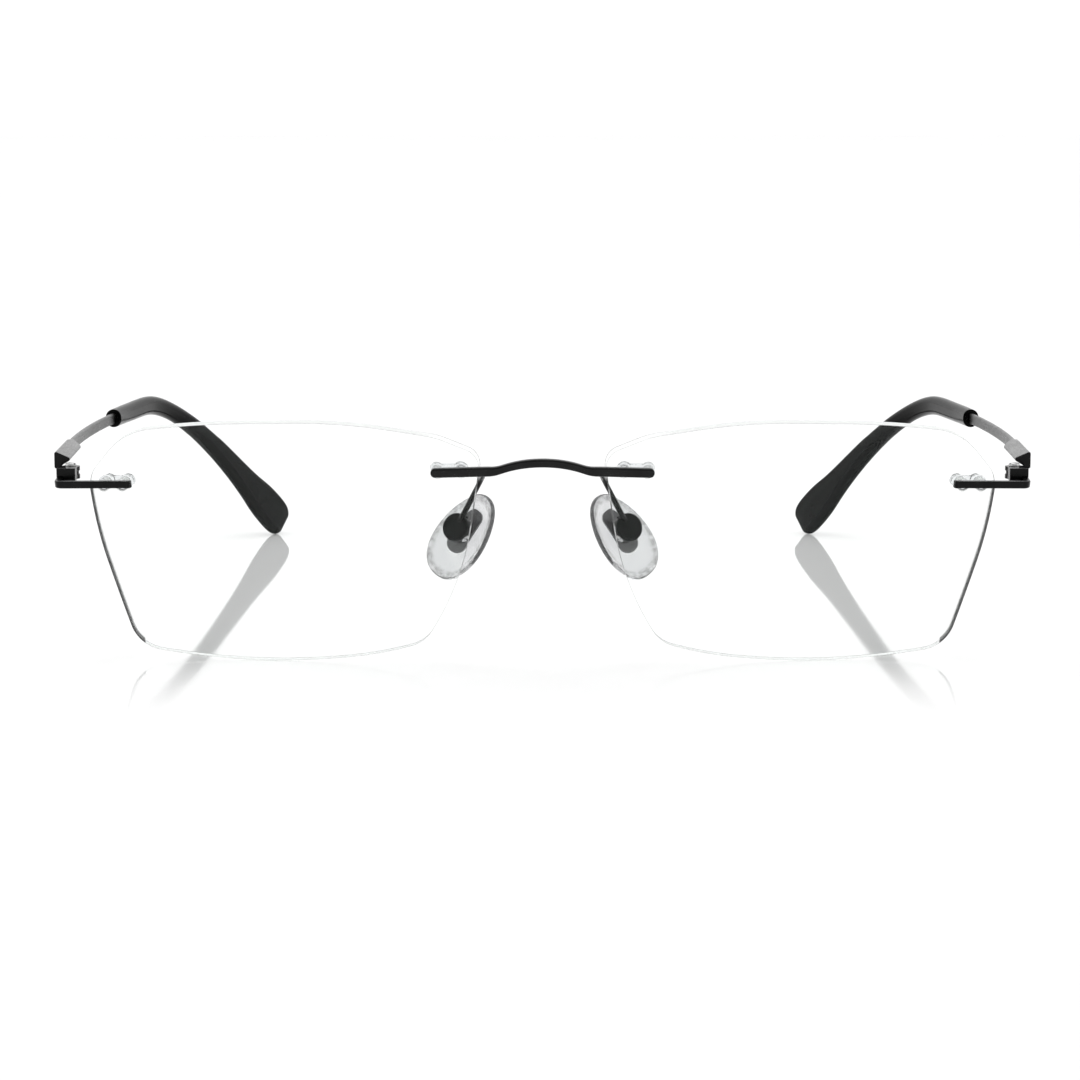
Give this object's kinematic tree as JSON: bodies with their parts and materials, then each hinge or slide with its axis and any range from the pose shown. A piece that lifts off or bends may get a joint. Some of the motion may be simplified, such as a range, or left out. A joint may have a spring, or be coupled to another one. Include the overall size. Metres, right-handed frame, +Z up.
{
  "type": "rimless eyeglasses",
  "caption": "Rimless eyeglasses: clear lenses held by pin-and-bushing mounts to a slim bridge and endpieces, with spring-hinged temples, curved tips and rocking nose pads.",
  "frame": {"origin": "middle of the footprint, at the level of the table that the lens bottoms and temple tips rest on", "axes": "+X to the wearer's left, +Y back along the temples, +Z up"},
  "size_m": [0.1458, 0.1368, 0.0352],
  "materials": {
    "bridge_metal": "satin warm grey metal",
    "front_metal": "satin gunmetal plating",
    "temple_metal": "satin gunmetal plating",
    "pad_arm_metal": "satin wire",
    "pad_box_metal": "satin gunmetal plating",
    "screw": "polished stainless steel",
    "slider_steel": "ground steel",
    "spring_steel": "drawn wire",
    "lens": "clear, polished faces, fine-ground edge",
    "bushing": "clear moulded plastic",
    "pad_silicone": "translucent soft silicone",
    "pad_core": "moulded plastic",
    "tip_acetate": "polished black"
  },
  "bodies": {
    "front": {"bridge": "bridge_metal", "lens_left": "lens", "lens_right": "lens", "bridge_bushing_left": "bushing", "bridge_bushing_right": "bushing", "endpiece_bushing_left": "bushing", "endpiece_bushing_right": "bushing", "pad_arm_left": "pad_arm_metal", "pad_arm_right": "pad_arm_metal", "pad_box_left": "pad_box_metal", "pad_box_right": "pad_box_metal", "pad_screw_left": "screw", "pad_screw_right": "screw", "endpiece_left": "front_metal", "endpiece_right": "front_metal", "hinge_fork_left": "front_metal", "hinge_fork_right": "front_metal", "hinge_screw_left": "screw", "hinge_screw_right": "screw"},
    "slider_left": {"hinge_slider_left": "slider_steel", "slider_spring_left": "spring_steel", "slider_nut_left": "slider_steel"},
    "slider_right": {"hinge_slider_right": "slider_steel", "slider_spring_right": "spring_steel", "slider_nut_right": "slider_steel"},
    "temple_left": {"spring_housing_left": "temple_metal", "temple_left": "temple_metal", "temple_tip_left": "tip_acetate"},
    "temple_right": {"spring_housing_right": "temple_metal", "temple_right": "temple_metal", "temple_tip_right": "tip_acetate"},
    "pad_left": {"nose_pad_left": "pad_silicone", "nose_pad_core_left": "pad_core"},
    "pad_right": {"nose_pad_right": "pad_silicone", "nose_pad_core_right": "pad_core"}
  },
  "joints": [
    {"name": "fold_left", "type": "hinge", "parent": "front", "child": "slider_left", "pos_m": [0.0686, -0.05448, 0.0264], "axis": [0, 0, 1], "range_deg": [-10, 80]},
    {"name": "spring_slide_left", "type": "slide", "parent": "slider_left", "child": "temple_left", "axis": [0.0567, 0.9983, -0.0098], "range_m": [0, 0.0009], "stiffness_N_per_m": 3000, "springref_m": -0.001, "deforming": ["slider_spring_left"]},
    {"name": "pad_rock_left", "type": "hinge", "parent": "front", "child": "pad_left", "pos_m": [0.01226, -0.05627, 0.01858], "axis": [-0.5285, -0.5119, -0.6773], "range_deg": [-10, 10]},
    {"name": "fold_right", "type": "hinge", "parent": "front", "child": "slider_right", "pos_m": [-0.0686, -0.05448, 0.0264], "axis": [0, 0, -1], "range_deg": [-10, 68]},
    {"name": "spring_slide_right", "type": "slide", "parent": "slider_right", "child": "temple_right", "axis": [-0.0567, 0.9983, -0.0098], "range_m": [0, 0.0009], "stiffness_N_per_m": 3000, "springref_m": -0.001, "deforming": ["slider_spring_right"]},
    {"name": "pad_rock_right", "type": "hinge", "parent": "front", "child": "pad_right", "pos_m": [-0.01226, -0.05627, 0.01858], "axis": [0.5285, -0.5119, -0.6773], "range_deg": [-10, 10]}
  ]
}
